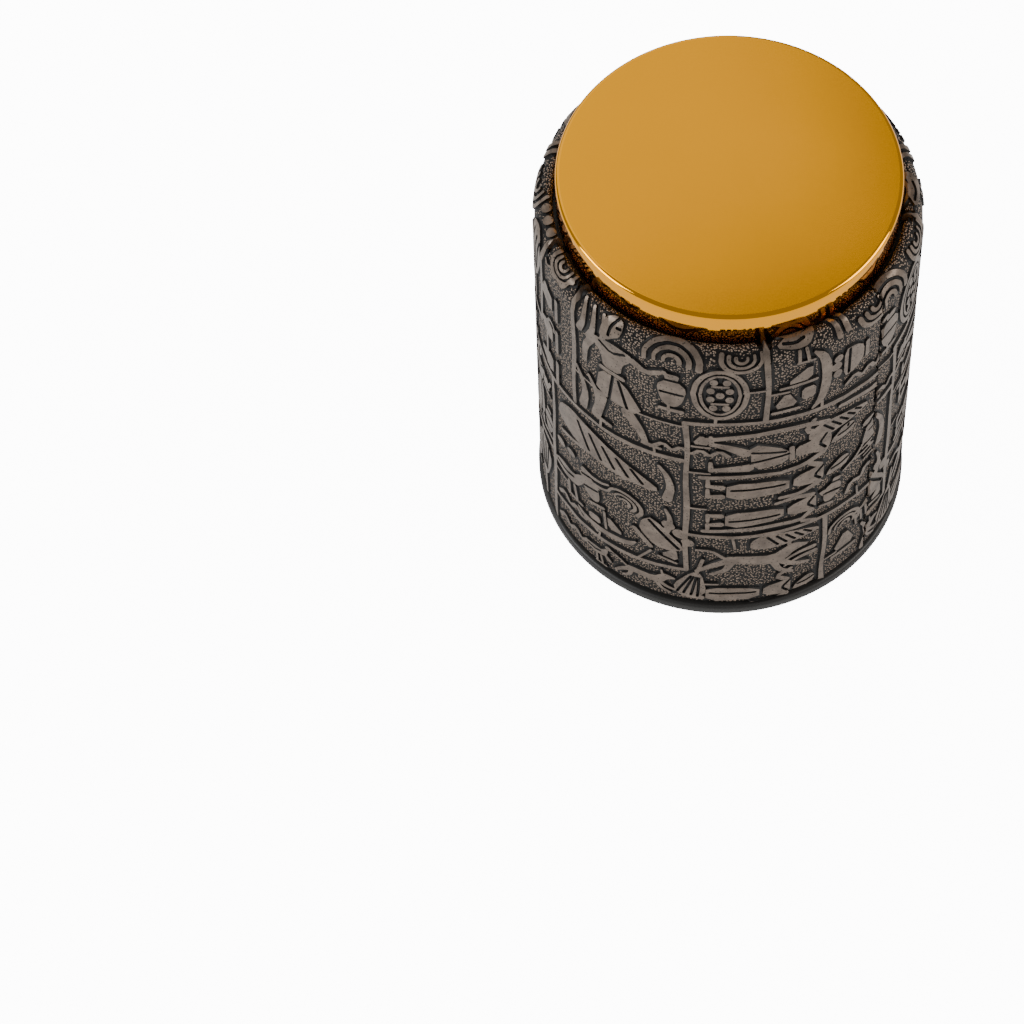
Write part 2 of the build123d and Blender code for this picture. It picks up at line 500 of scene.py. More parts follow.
def disc(x, y, rx, ry=None):
    """A round or oval spot, drawn 8% large because its corners are then cut off."""
    turns = [2 * pi * i / 8 for i in range(8)]
    return leaf(*[(x + rx * cos(t) * 1.08, y + (ry or rx) * sin(t) * 1.08) for t in turns])


# The figures, each drawn upright in mm from the point it stands on.
def walker(arm=0):
    """A walking person in a pointed kilt, seen from the side, about 36 mm tall."""
    return [
        leaf((-2.6, 35.2), (-0.6, 36.6), (1.5, 36.0), (1.9, 34.4), (1.5, 32.6), (0.2, 31.6),
             (-1.0, 30.2), (-3.0, 29.6)),
        groove(0.35, (0.3, 36.2), (-0.7, 34.2), (-0.9, 31.6)),
        groove(0.3, (0.6, 34.4), (1.5, 34.5)),
        leaf((-4.9, 28.6), (-1.0, 29.6), (1.2, 29.6), (4.9, 28.6), (4.3, 26.6), (2.5, 24.2),
             (2.1, 20.6), (-1.9, 20.4), (-2.4, 24.0)),
        groove(0.4, (-2.9, 28.2), (0.0, 26.4), (3.0, 28.2)),
        bar(1.9, (4.6, 27.6), (7.6, 23.6 + arm), (11.4, 25.8 + arm), end=1.1),
        bar(1.9, (-4.5, 27.6), (-6.7, 22.6), (-6.9, 17.6), end=1.1),
        bar(1.2, (-2.6, 19.6), (2.7, 19.4)),
        leaf((-2.9, 18.6), (2.6, 18.6), (7.6, 9.4), (-3.9, 10.2)),
        groove(0.4, (0.4, 18.8), (-0.6, 9.8)),
        groove(0.4, (1.6, 18.0), (3.6, 10.0)),
        bar(3.0, (-2.6, 9.4), (-2.9, 5.4), (-3.4, 1.2), end=1.3),
        bar(1.3, (-3.8, 0.7), (-0.2, 0.5), end=0.8),
        bar(3.0, (3.6, 8.8), (6.2, 5.0), (7.6, 1.2), end=1.3),
        bar(1.3, (7.2, 0.7), (10.8, 0.4), end=0.8),
    ]


def bearer():
    """A standing person in a long straight dress, with a raised arm, about 33 mm."""
    return [
        leaf((-2.4, 32.6), (-0.4, 33.8), (1.5, 33.2), (1.8, 31.4), (0.4, 29.4), (-0.8, 28.2),
             (-2.8, 27.4)),
        groove(0.35, (0.2, 33.4), (-0.7, 31.2), (-0.8, 28.8)),
        leaf((-3.6, 26.6), (3.5, 26.8), (2.2, 19.6), (-1.7, 19.4)),
        groove(0.4, (-2.2, 26.0), (0.0, 24.4), (2.3, 26.2)),
        bar(1.6, (3.4, 25.8), (6.4, 22.6), (8.6, 26.8), end=1.0),
        bar(1.6, (-3.4, 25.8), (-5.2, 21.2), (-4.6, 16.4), end=1.0),
        leaf((-2.3, 18.4), (2.5, 18.4), (3.9, 4.6), (-2.9, 4.6)),
        groove(0.4, (0.6, 17.4), (1.0, 5.6)),
        bar(1.8, (-1.5, 3.6), (-1.6, 1.0), end=1.2),
        bar(1.1, (-1.9, 0.5), (1.3, 0.4), end=0.7),
        bar(1.8, (2.2, 3.6), (2.6, 1.0), end=1.2),
        bar(1.1, (2.3, 0.5), (5.2, 0.4), end=0.7),
    ]


def fan():
    """A feather fan on a handle, about 25 mm long."""
    marks = [bar(1.1, (0, 0), (0, 9)), leaf((-1.6, 9), (-5.6, 19.4), (-3.6, 24), (0, 25.6), (3.6, 24),
                                            (5.6, 19.4), (1.6, 9))]
    for x in (-3, -1.1, 1.1, 3):
        marks.append(groove(0.42, (x * 0.45, 11.6), (x, 20), (x * 1.15, 23.4)))
    return marks


def wing():
    """A folded wing with five long feathers, about 24 mm long."""
    marks = [leaf((0, 2), (0.4, 6.4), (4, 9), (9, 8.6), (16, 6.4), (24, 2.6), (24.4, 0.8), (16, 0.2),
                  (6, 0))]
    for i in range(5):
        marks.append(groove(0.45, (6 + i * 3.2, 7.4 - i * 0.7), (9.4 + i * 3.0, 1.2 + i * 0.1)))
    return marks


def seed_oval():
    """An upright oval ring with rows of seeds inside, 12 by 18 mm."""
    marks = ring(0, 0, 5.4, 8.5, 1.0) + ring(0, 0, 4.0, 7.0, 0.55)
    for y in (-4.6, -1.5, 1.5, 4.6):
        reach = 1.9 if abs(y) < 3 else 1.3
        marks += [disc(-reach, y, 0.75, 0.95), disc(reach, y, 0.75, 0.95)]
    return marks + [disc(0, 0, 0.8, 1.0), bar(0.6, (-1.6, 3.1), (1.6, 3.1)), bar(0.6, (-1.6, -3.1),
                                                                                 (1.6, -3.1))]


def water(n=4):
    """A zigzag of n waves."""
    points = [(i * 2.2, (i % 2) * 2.4) for i in range(2 * n + 1)]
    return [bar(1.0, *points)]


def jar():
    """A tall shouldered jar on a stand, about 13 mm."""
    return [
        leaf((-1.5, 12.6), (1.5, 12.6), (1.1, 10.6), (2.9, 8.4), (2.1, 4.0), (0.9, 2.2), (-0.9, 2.2),
             (-2.1, 4.0), (-2.9, 8.4), (-1.1, 10.6)),
        groove(0.35, (-1.6, 10.6), (1.6, 10.6)),
        groove(0.35, (-2.2, 6.4), (2.2, 6.4)),
        bar(0.9, (-2.2, 0.8), (2.2, 0.8)),
    ]


def bowl():
    """A half-round bowl on a foot, 10 mm across."""
    return [
        leaf((-5, 6.6), (5, 6.6), (4.6, 3.6), (2.4, 1.4), (-2.4, 1.4), (-4.6, 3.6)),
        groove(0.4, (-4.4, 5.3), (4.4, 5.3)),
        bar(1.0, (-2.6, 0.3), (2.6, 0.3)),
        disc(-2.4, 8.2, 1.3, 1.0), disc(0.5, 8.6, 1.4, 1.2), disc(3.2, 8.2, 1.2, 1.0),
    ]


def boat():
    """A reed boat with a mast and a cabin, 22 mm long."""
    return [
        leaf((-11.6, 5.4), (-9.4, 2.0), (-4, 0.4), (4, 0.4), (9.4, 2.0), (11.6, 5.4), (7.4, 3.3),
             (0, 2.6), (-7.4, 3.3)),
        bar(0.8, (0.5, 4.0), (0.5, 12.4)),
        leaf((1.6, 11.6), (1.6, 5.2), (7.2, 5.2)),
        leaf((-6, 4.3), (-6, 7.4), (-1.6, 7.4), (-1.6, 4.2)),
    ]


def reeds():
    """Three tall leaves from one root."""
    return [bar(1.5, (x * 0.2, 0), (x * 0.6, 5), (x, 11 - abs(x)), end=0.5) for x in (-3.4, 0, 3.4)]


def wader():
    """A long-legged bird, about 14 mm tall."""
    return [
        leaf((-6.6, 6.0), (-3.4, 8.6), (1.2, 8.6), (3.0, 10.8), (4.2, 11.0), (3.8, 8.2), (2.0, 5.6),
             (-1.4, 5.0)),
        disc(4.3, 12.2, 1.25, 1.05),
        bar(0.7, (5.4, 12.2), (8.2, 11.4), end=0.4),
        groove(0.35, (-4.6, 6.8), (-1.4, 6.6), (1.0, 7.6)),
        bar(0.7, (-0.6, 4.4), (-0.4, 0.8)), bar(0.7, (-0.8, 0.3), (1.2, 0.3)),
        bar(0.7, (1.2, 4.8), (2.0, 0.8)), bar(0.7, (1.6, 0.3), (3.6, 0.3)),
    ]


def hound():
    """A running hound, about 18 mm long."""
    return [
        leaf((-6.4, 8.0), (-3, 8.4), (3.4, 8.2), (6.0, 10.8), (7.6, 11.6), (11.4, 10.0), (8.0, 8.6),
             (6.8, 6.4), (3.8, 4.8), (-2.8, 5.6), (-6.8, 5.2)),
        bar(0.8, (6.4, 11.2), (6.0, 13.4), end=0.5),
        bar(1.9, (-5.8, 6.2), (-8.8, 3.6), (-11.0, 0.8), end=0.8),
        bar(1.7, (-4.8, 5.6), (-5.4, 2.6), (-8.0, 0.6), end=0.8),
        bar(1.7, (5.2, 6.0), (8.4, 3.6), (12.4, 2.8), end=0.8),
        bar(1.5, (4.2, 5.4), (6.0, 2.2), (9.2, 0.6), end=0.8),
        bar(0.8, (-6.6, 7.4), (-9.6, 9.6), (-12.6, 9.0), end=0.5),
    ]


def comb():
    """A row of five teeth under a bar."""
    return [bar(1.1, (0, 7), (9, 7))] + [bar(0.8, (0.6 + i * 2, 5.8),
                                             (0.6 + i * 2, 1), end=0.5) for i in range(5)]


def loaf():
    """A pointed loaf over a short line."""
    return [leaf((-2.4, 1.6), (2.4, 1.6), (0.2, 6.4)), bar(0.7, (-2.4, 0.3), (2.4, 0.3))]


def crook():
    """A long staff with a bent head."""
    return [bar(1.0, (0, 0), (0.2, 19), (1.8, 22), (4.2, 21.2), (4.4, 19.2), end=0.8)]


def lotus():
    """A flower on a bent stem, about 15 mm tall."""
    return [
        bar(0.8, (0, 0), (0.8, 4.5), (0, 9)),
        leaf((-0.8, 9), (-4.2, 13.8), (-1.9, 12.6), (0, 15.2), (1.9, 12.6), (4.2, 13.8), (0.8, 9)),
        bar(0.9, (0.7, 4), (3.8, 6.4), end=0.4),
    ]


def serpent():
    """A snake with its head up, about 20 mm long."""
    return [bar(0.6, (-10, 1.6), (-7.5, 0.2), (-4.5, 2.2), (-1.5, 0.2), (1.5, 2.2), (4.5, 0.6),
                (6.4, 3.0), (7.0, 6.0), end=1.5),
            disc(7.9, 6.9, 1.5, 1.1)]


def coil():
    """Three arcs one inside the other, like a folded cloth, about 14 mm across."""
    marks = []
    for radius, width in ((6.6, 1.5), (4.2, 1.2), (1.9, 1.1)):
        turns = [pi * (i / 7 * 1.2 - 0.1) for i in range(8)]
        arc = [(radius * cos(t), radius * 0.85 * sin(t)) for t in turns]
        marks.append(bar(width, *arc, end=width * 0.6))
    return marks


def folds(n=3):
    """A row of n long tapering strokes bent the same way, about 13 mm tall."""
    return [bar(2.2, (i * 3.6, 0), (i * 3.6 + 1.2, 5), (i * 3.6 + 0.6, 9.4),
                (i * 3.6 - 1, 12.6), end=0.7) for i in range(n)]


def place(figure, s, v, turn=0, size=1, mirror=1):
    """Draws a figure's marks standing at s along and v up the strip."""
    for kind, points in figure:
        mark(kind, points, (s, v), turn, size, mirror)


def lines(width, *paths):
    """Draws lines of a slightly uneven width through their (s, v) points."""
    for path in paths:
        mark("bar", [(x, y, width * (1 + 0.16 * sin(3.1 * x + 1.7 * y))) for x, y in path])


# The panel lines, then the thin ties that join figures to them.
LEFT = SEAM - REPEAT                  # where the repeat before this one ends
lines(
    1.15,
    [(-38.4, 108), (-38.7, 96), (-38.1, 82), (-38.6, 70), (-38.3, 62)],
    [(LEFT, 60.2), (-56, 60.7), (-48.6, 59.6), (-40, 60.6), (-25, 60.8), (-11.2, 61.4)],
    [(-11.0, 76), (-10.3, 66), (-10.7, 55), (-10.2, 42), (-10.6, 30), (-10.1, 17.8)],
    [(-11.2, 76.0), (-2, 76.9), (6, 76.7), (20, 75.5), (SEAM, 73.9)],
    [(LEFT, 73.9), (-57, 73.5), (-52.8, 74.0)],
    [(-52.9, 74), (-52.3, 88), (-52.7, 98), (-52.5, 108)],
    [(5.5, 77), (5.9, 88), (5.3, 99), (5.7, 108)],
    [(-10.3, 32.4), (2, 32.1), (12, 31.9), (20.6, 31.3), (SEAM, 30.5)],
    [(LEFT, 30.5), (-55, 30.0), (-47.2, 30.8)],
    [(20.5, 31), (20.9, 20), (20.3, 10), (20.6, HEM)],
    [(-47.2, 15.0), (-36, 15.3), (-22, 16.2), (-10.1, 17.6)],
    [(-47.3, 59.4), (-46.8, 48), (-47.4, 36), (-46.9, 24), (-47.2, 12), (-47.0, HEM)],
)
lines(
    0.5,
    [(-27, 74.2), (-38, 74.6)], [(-23, 74.2), (-11, 74.4)], [(-30.6, 61), (-30.4, 64)],
    [(-17.4, 61.2), (-17.6, 64.2)], [(-4.8, 77), (-4.7, 79.4)], [(0.9, 88.4), (5.6, 88.4)],
    [(-10.3, 57.4), (-5.6, 57.6)], [(-10.6, 43.2), (-6.2, 43.4)], [(-14.4, 78.4), (-14.6, 81.6)],
    [(6, 86.4), (10.2, 86.2)], [(17.8, 76), (17.7, 80.4)], [(29.4, 31), (29.0, 34.6)],
    [(-46.6, 25.8), (-41, 26.0)], [(-21.4, 16.2), (-18.0, 22)], [(-31.4, 15.4), (-31.0, 18.2)],
    [(21, 12.2), (24.2, 12.4)], [(-0.4, 32), (0.2, 27.4)], [(-10.1, 12.2), (-3.2, 12.6)],
    [(-58, 60.6), (-57.8, 63.4)], [(-55, 30), (-54.8, 26.6)], [(-45, 60), (-44.8, 62.6)],
)

# Upper left: a walker who reaches for a jar, and the seed oval.
place(walker(arm=2), -27.6, 63.4, size=1.06)
place(jar(), -14.0, 78.8, size=1.1)
place(seed_oval(), -4.0, 87.6, size=1.02)
place(coil(), -14.2, 97.4, size=0.92)
place(coil(), 0.2, 99.6, turn=180, size=0.66)
place(folds(3), -36.6, 91.6, turn=-6, size=0.78)
place(water(4), -17.6, 64.4, size=0.9)
place(folds(2), -35.6, 64.0, turn=4, size=1.05)
place(loaf(), -7.6, 67.4, size=0.8)

# The narrow column left of it: pointed loaves one over the other, then a crook.
for i in range(3):
    place(loaf(), -44.4, 64.4 + i * 11.4, turn=90, size=1.5)
place(crook(), -49.6, 62.2, size=0.82)
place(serpent(), -45.6, 97.6, size=0.52)
place(coil(), -45.4, 101.8, turn=180, size=0.62)
place([disc(0, 0, 1.2, 1.7)], -49.8, 89.4)

# Upper right: a boat on its side, water, a bowl and a bird.
place(boat(), 20.0, 87.4, turn=90, size=0.94)
place(water(4), 23.6, 79.6, turn=-8, size=0.95)
place(bowl(), 29.2, 88.2, turn=90, size=0.98)
place(wader(), 12.4, 95.4, turn=-6, size=0.86)
place(lotus(), 34.4, 77.4, turn=-14, size=0.72)
place(coil(), 32.0, 99.8, turn=200, size=0.78)
place(loaf(), 9.6, 79.0, size=1.15)
place(folds(2), 21.6, 98.4, turn=16, size=0.62)
place(coil(), 11.6, 106.2, turn=180, size=0.6)
place(fan(), -58.0, 75.9, size=0.94)
place([disc(x, 0, 1.1) for x in (0, 3.3, 6.6)], -61.4, 102.2)

# The middle: three people lying on their sides in rows, heads to the right, and staffs.
place(walker(arm=-1), -6.0, 62.2, turn=-90, size=0.9, mirror=-1)
place(bearer(), -6.4, 50.2, turn=-90, size=0.96, mirror=-1)
place(bearer(), -6.2, 39.6, turn=-90, size=0.9)
lines(1.3, [(-7.4, 70.6), (2, 72.2), (13.4, 72.0), (19.6, 69.4)], [(22.4, 72.6), (29, 71.2), (35.6, 68.2)])
lines(1.1, [(-7.6, 55.9), (3.4, 56.6), (9.8, 55.7)], [(-6.8, 34.6), (3.4, 35.2), (14.4, 34.4)])
place(wing(), 15.4, 63.6, turn=6, size=0.62)
place(folds(3), 30.2, 58.0, turn=-70, size=0.86)
place(lotus(), 24.6, 45.4, turn=-48, size=0.82)
place(comb(), 28.6, 50.6, turn=-80, size=0.86)
place(water(2), 26.0, 35.2, turn=24, size=1.05)
place(folds(2), 33.8, 38.6, turn=8, size=0.84)
place(jar(), 20.4, 35.2, turn=-16, size=0.78)
place(bearer(), -55.6, 33.0, size=0.8)
place(reeds(), -61.0, 62.4, size=0.84)
place(jar(), -50.0, 33.2, size=0.8)
place(folds(2), -61.6, 33.6, size=0.8)
place(loaf(), -51.2, 48.8, size=0.9)
place([disc(0, 0, 1.2), disc(0.4, 3.8, 1.1)], -61.2, 50.6)

# Lower left: a wing over a staff, a bowl of fruit, a jar, a boat and a wader.
place(wing(), -45.0, 47.4, turn=-4, size=1.16)
place(crook(), -43.4, 44.6, turn=-74, size=0.9)
place(folds(1), -14.6, 44.6, turn=4, size=1.0)
place(folds(1), -15.2, 30.4, turn=-6, size=0.8)
place(coil(), -24.4, 36.6, turn=-30, size=0.66)
place(bowl(), -20.4, 25.8, turn=-52, size=1.24)
place(wader(), -40.4, 22.4, size=1.12)
place(jar(), -31.6, 27.4, turn=20, size=0.94)
place(folds(2), -36.0, 38.4, turn=-84, size=0.6)
place(water(3), -45.0, 17.8, size=1.0)
place(boat(), -29.4, 18.4, turn=5, size=0.74)
place(loaf(), -14.4, 19.8, turn=-18, size=0.9)
place([disc(0, 0, 1.5, 1.1), disc(3.9, 0.6, 1.3, 1.0)], -44.0, 39.0)

# Bottom row: a hound, a fan, loaves and reeds.
place(hound(), 3.4, 14.8, turn=-10, size=1.06)
place(wing(), 3.6, 25.6, turn=4, size=0.64)
place(fan(), -6.6, 22.6, turn=168, size=0.66)
place(bearer(), -9.6, 8.0, turn=-90, size=0.84, mirror=-1)
place(folds(2), 18.6, 18.6, turn=100, size=0.6)
place(loaf(), 26.4, 10.6, size=1.4)
place(comb(), 29.4, 17.2, turn=6, size=0.85)
place(folds(2), 32.6, 5.4, size=0.86)
place(coil(), 26.2, 22.6, turn=-10, size=0.66)
place(water(4), -45.0, 8.4, size=0.95)
place(hound(), -19.6, 6.2, size=0.66)
place(wader(), -31.6, 5.2, size=0.66)
place(fan(), -52.6, 6.2, turn=4, size=0.84)
place(jar(), -60.0, 9.4, size=1.0)
place(coil(), -58.6, 24.0, turn=176, size=0.62)


# The strip itself: one repeat is pressed flat, cell by cell, then laid out and wrapped.
CELLS = 10                            # cells along one repeat, and up the strip
GRID = 2.1                            # spacing of the ground's own points on the wall
SHOULDER_GRID = 0.8                   # and where the strip bends over the shoulder
EDGE = 0.5                            # the edges' slope down is this wide
NEAR = 0.01                           # a point this close to an edge is on it
THICK = 1.0
PINCH = 0.38                          # how far the strip's edges are pressed down
BUTT = 0.24                           # each end stops this far short of the seam line
GROUND_SLOT, BORDER_SLOT, TOP_SLOT = 0, 1, 2


def spread(low, high, step, extra=()):
    """Values from low to high about a step apart, with the extra ones among them."""
    count = max(1, round((high - low) / step))
    return sorted([low + (high - low) * i / count for i in range(count + 1)] + list(extra))


def outlines(kind, raw, shift):
    """The labelled outlines of one mark, the narrow ones from its softened line."""
    raw = [(p[0] + shift, *p[1:]) for p in raw]
    fine = softened(raw, kind == "leaf")
    outline = leaf_outline if kind == "leaf" else bar_outline
    if kind == "groove":
        return [("cut_foot", outline(fine, CUT_FOOT)), ("cut_top", outline(fine, CUT_TOP))]
    return [
        ("top", outline(fine, TOP_EDGE)),
        ("foot", outline(fine, FOOT_EDGE)),
        ("border", outline(raw, BORDER)),
    ]


def doubled_area(points):
    """Twice the area inside an outline: above zero if it runs anticlockwise."""
    return sum(a[0] * b[1] - b[0] * a[1] for a, b in zip(points, points[1:] + points[:1]))


def pressed_cell(s0, s1, v0, v1, marks, fine_s, fine_v):
    """Triangles of one cell: three corners (s, v) each, and the labels that cover it."""
    columns = spread(s0, s1, GRID, fine_s)
    rows = spread(v0, v1, GRID if v1 < WALL_TOP + 1 else SHOULDER_GRID, fine_v)
    flat = [Vector((s, v)) for v in rows for s in columns]
    wide, tall = len(columns), len(rows)
    rim = list(range(wide)) + [j * wide + wide - 1 for j in range(1, tall)]
    rim += [(tall - 1) * wide + i for i in range(wide - 2, -1, -1)]
    rim += [j * wide for j in range(tall - 2, 0, -1)]
    faces, labels = [rim], ["cell"]
    for label, outline in marks:
        faces.append(list(range(len(flat), len(flat) + len(outline))))
        flat += [Vector(p[:2]) for p in outline]
        labels.append(label)
    corners, _, triangles, _, _, sources = delaunay_2d_cdt(flat, [], faces, 0, 1e-5, True)
    for triangle, source in zip(triangles, sources):
        found = {labels[i] for i in source}
        if "cell" in found:
            yield [corners[i] for i in triangle], found


def finish_of(found):
    """(height of the corners, material slot) of a triangle that these labels cover."""
    if "cut_foot" in found or "cut_top" in found and found & {"top", "foot"}:
        return 0, BORDER_SLOT
    if "top" in found:
        return RELIEF, TOP_SLOT
    return 0, BORDER_SLOT if found & {"foot", "border"} else GROUND_SLOT


WALL_TOP = CREST - DROP
outlined = []
for kind, line in raised + grooves:
    for shift in (-REPEAT, 0, REPEAT):
        for label, outline in outlines(kind, line, shift):
            if doubled_area(outline) < 0:
                outline.reverse()
            xs, ys = [p[0] for p in outline], [p[1] for p in outline]
            outlined.append((min(xs), max(xs), min(ys), max(ys), label, outline))

strip = {}                            # (s, v) of a corner: [index, height]
triangles = []                        # (corner keys, material slot)
row_lines = spread(HEM, WALL_TOP, (WALL_TOP - HEM) / (CELLS - 1)) + [STRIP_TOP]
for i in range(CELLS):
    s0, s1 = LEFT + REPEAT * i / CELLS, LEFT + REPEAT * (i + 1) / CELLS
    fine_s = {0: [s0 + EDGE], CELLS // 2: [s0 + EDGE], CELLS - 1: [SEAM - EDGE]}.get(i, [])
    for v0, v1 in zip(row_lines, row_lines[1:]):
        near = [(m[4], m[5]) for m in outlined if m[0] < s1 and m[1] > s0 and m[2] < v1 and m[3] > v0]
        fine_v = [HEM + EDGE] if v0 == HEM else []
        for corners, found in pressed_cell(s0, s1, v0, v1, near, fine_s, fine_v):
            height, slot = finish_of(found)
            for repeat in range(3):
                shift = -repeat * REPEAT
                if repeat == 2 and i < CELLS // 2:
                    continue
                keys = [(round(c.x + shift, 3), round(c.y, 3)) for c in corners]
                if len(set(keys)) < 3:
                    continue
                for key in keys:
                    known = strip.setdefault(key, [len(strip), 0])
                    known[1] = max(known[1], height)
                triangles.append((keys, slot))

START = SEAM - ROUND_WALL             # where the strip begins, 2.5 repeats before it ends
UNEVEN_REACH = 3                      # the seam's unevenness fades out over this


def laid(s, v, lift):
    """wrapped(), with the strip's ends drawn a little apart along an uneven seam."""
    gap = BUTT if s < START + NEAR else -BUTT if s > SEAM - NEAR else 0
    near_seam = max(0, 1 - min(s - START, SEAM - s) / UNEVEN_REACH)
    uneven = 0.16 * sin(1.9 * v) + 0.1 * sin(4.3 * v + 1)
    return wrapped(s + gap + uneven * near_seam, v, lift)


vertices, uvs = [], []
for (s, v), (_, height) in strip.items():
    at_edge = s < START + NEAR or s > SEAM - NEAR or v < HEM + NEAR
    vertices.append(laid(s, v, height - RELIEF - PINCH * at_edge))
    uvs.append((s * MM, v * MM))
faces = [[strip[k][0] for k in keys] for keys, _ in triangles]
slots = [slot for _, slot in triangles]

# The back of the strip, flat where the front is pressed, and the cut edges between them.
directed = {(a, b) for f in faces for a, b in zip(f, f[1:] + f[:1])}
edges = [(a, b) for a, b in directed if (b, a) not in directed]
flat_places = list(strip)
back_of, back = {}, []
for a, b in edges:
    for i in (a, b):
        if i not in back_of:
            back_of[i] = len(back)
            back.append(flat_places[i])
rim_edges = [(back_of[a], back_of[b]) for a, b in edges]
back_rows = spread(HEM, WALL_TOP, 6)[1:] + spread(WALL_TOP, STRIP_TOP, 1)[1:-1]
back += [(s, v) for s in spread(START, SEAM, 3)[1:-1] for v in back_rows]
places, _, back_faces, _, _, _ = delaunay_2d_cdt([Vector(p) for p in back], rim_edges, [], 0, 1e-6, False)
first = len(vertices)
for corner in places:
    vertices.append(laid(corner.x, corner.y, -THICK))
    uvs.append((corner.x * MM, corner.y * MM))
faces += [[first + i for i in reversed(f)] for f in back_faces]
faces += [[b, a, first + back_of[a], first + back_of[b]] for a, b in edges]
slots += [BORDER_SLOT] * (len(back_faces) + len(edges))

strip_mesh = bpy.data.meshes.new("leather_strip")
strip_mesh.from_pydata(vertices, [], faces)
uv_map = strip_mesh.uv_layers.new(name="strip")
for loop in strip_mesh.loops:
    uv_map.data[loop.index].uv = uvs[loop.vertex_index]
leather = bpy.data.objects.new("leather_strip", strip_mesh)
bpy.context.collection.objects.link(leather)
bpy.ops.object.select_all(action="DESELECT")
leather.select_set(True)
bpy.context.view_layer.objects.active = leather
bpy.ops.object.shade_smooth_by_angle(angle=radians(32))

# The ground: black, closely covered in raised pebbles whose tips caught the bronze.
pebbled, nodes, links, shader = material("pebbled_ground", (0.012, 0.011, 0.010), 0.5)
shader.inputs["Specular IOR Level"].default_value = 0.16
flat_place = node(nodes, links, "ShaderNodeTexCoord").outputs["UV"]
wander = node(nodes, links, "ShaderNodeTexNoise", Vector=flat_place, Scale=1300, Detail=1)
nudge = node(nodes, links, "ShaderNodeVectorMath", operation="SCALE", Scale=0.0005)
links.new(wander.outputs["Color"], nudge.inputs[0])
moved = node(nodes, links, "ShaderNodeVectorMath", operation="ADD")
links.new(flat_place, moved.inputs[0])
links.new(nudge.outputs["Vector"], moved.inputs[1])
pebbles = node(nodes, links, "ShaderNodeTexVoronoi", voronoi_dimensions="2D",
               Vector=moved.outputs["Vector"], Scale=1550, Randomness=0.85)
mound = node(nodes, links, "ShaderNodeMapRange", interpolation_type="SMOOTHSTEP",
             Value=pebbles.outputs["Distance"], From_Min=0.16, From_Max=0.5, To_Min=1, To_Max=0)
each = node(nodes, links, "ShaderNodeSeparateColor", Color=pebbles.outputs["Color"])
caught = node(nodes, links, "ShaderNodeMapRange", Value=each.outputs["Red"], To_Min=0.55, To_Max=1)
tip = node(nodes, links, "ShaderNodeMath", operation="MULTIPLY")
links.new(mound.outputs["Result"], tip.inputs[0])
links.new(caught.outputs["Result"], tip.inputs[1])
shade = node(nodes, links, "ShaderNodeValToRGB", Fac=tip.outputs["Value"])
shade.color_ramp.elements[0].position = 0.3
shade.color_ramp.elements[0].color = (0.008, 0.007, 0.007, 1)
shade.color_ramp.elements[1].position = 0.75
shade.color_ramp.elements[1].color = (0.36, 0.28, 0.22, 1)
links.new(shade.outputs["Color"], shader.inputs["Base Color"])
foil = node(nodes, links, "ShaderNodeMapRange", Value=tip.outputs["Value"],
            From_Min=0.4, From_Max=0.8, To_Max=0.6)
links.new(foil.outputs["Result"], shader.inputs["Metallic"])
bump = node(nodes, links, "ShaderNodeBump", Height=mound.outputs["Result"],
            Strength=0.9, Distance=0.16 * MM)
links.new(bump.outputs["Normal"], shader.inputs["Normal"])

# The border round each figure, the slopes and the strip's back: smooth and near black.
border, nodes, links, shader = material("pressed_border", (0.008, 0.007, 0.007), 0.5)
shader.inputs["Specular IOR Level"].default_value = 0.2
flat_place = node(nodes, links, "ShaderNodeTexCoord").outputs["UV"]
creases = node(nodes, links, "ShaderNodeTexNoise", Vector=flat_place, Scale=1400, Detail=3)
bump = node(nodes, links, "ShaderNodeBump", Height=creases.outputs["Fac"], Strength=0.3, Distance=0.06 * MM)
links.new(bump.outputs["Normal"], shader.inputs["Normal"])

# The flat tops: dull bronze wiped over the black, thin in places, with small dark pits.
bronze, nodes, links, shader = material("bronze_tops", (0.19, 0.143, 0.108), 0.36)
shader.inputs["Metallic"].default_value = 0.6
shader.inputs["Specular IOR Level"].default_value = 0.3
flat_place = node(nodes, links, "ShaderNodeTexCoord").outputs["UV"]
wiped = node(nodes, links, "ShaderNodeTexNoise", Vector=flat_place, Scale=260, Detail=6, Roughness=0.65)
shade = node(nodes, links, "ShaderNodeValToRGB", Fac=wiped.outputs["Fac"])
shade.color_ramp.elements[0].position = 0.3
shade.color_ramp.elements[0].color = (0.115, 0.088, 0.069, 1)
shade.color_ramp.elements[1].position = 0.72
shade.color_ramp.elements[1].color = (0.28, 0.222, 0.178, 1)
pits = node(nodes, links, "ShaderNodeTexVoronoi", voronoi_dimensions="2D", Vector=flat_place,
            Scale=900, Randomness=1)
pit = node(nodes, links, "ShaderNodeMapRange", Value=pits.outputs["Distance"],
           From_Min=0.06, From_Max=0.2, To_Min=1, To_Max=0)
picked = node(nodes, links, "ShaderNodeSeparateColor", Color=pits.outputs["Color"])
some = node(nodes, links, "ShaderNodeMath", operation="GREATER_THAN")
some.inputs[1].default_value = 0.6
links.new(picked.outputs["Green"], some.inputs[0])
dark = node(nodes, links, "ShaderNodeMath", operation="MULTIPLY")
links.new(pit.outputs["Result"], dark.inputs[0])
links.new(some.outputs["Value"], dark.inputs[1])
mixed = node(nodes, links, "ShaderNodeMix", data_type="RGBA")
links.new(dark.outputs["Value"], mixed.inputs["Factor"])
links.new(shade.outputs["Color"], mixed.inputs["A"])
mixed.inputs["B"].default_value = (0.03, 0.024, 0.02, 1)
links.new(mixed.outputs["Result"], shader.inputs["Base Color"])
bump = node(nodes, links, "ShaderNodeBump", Height=wiped.outputs["Fac"], Strength=0.35, Distance=0.1 * MM)
links.new(bump.outputs["Normal"], shader.inputs["Normal"])

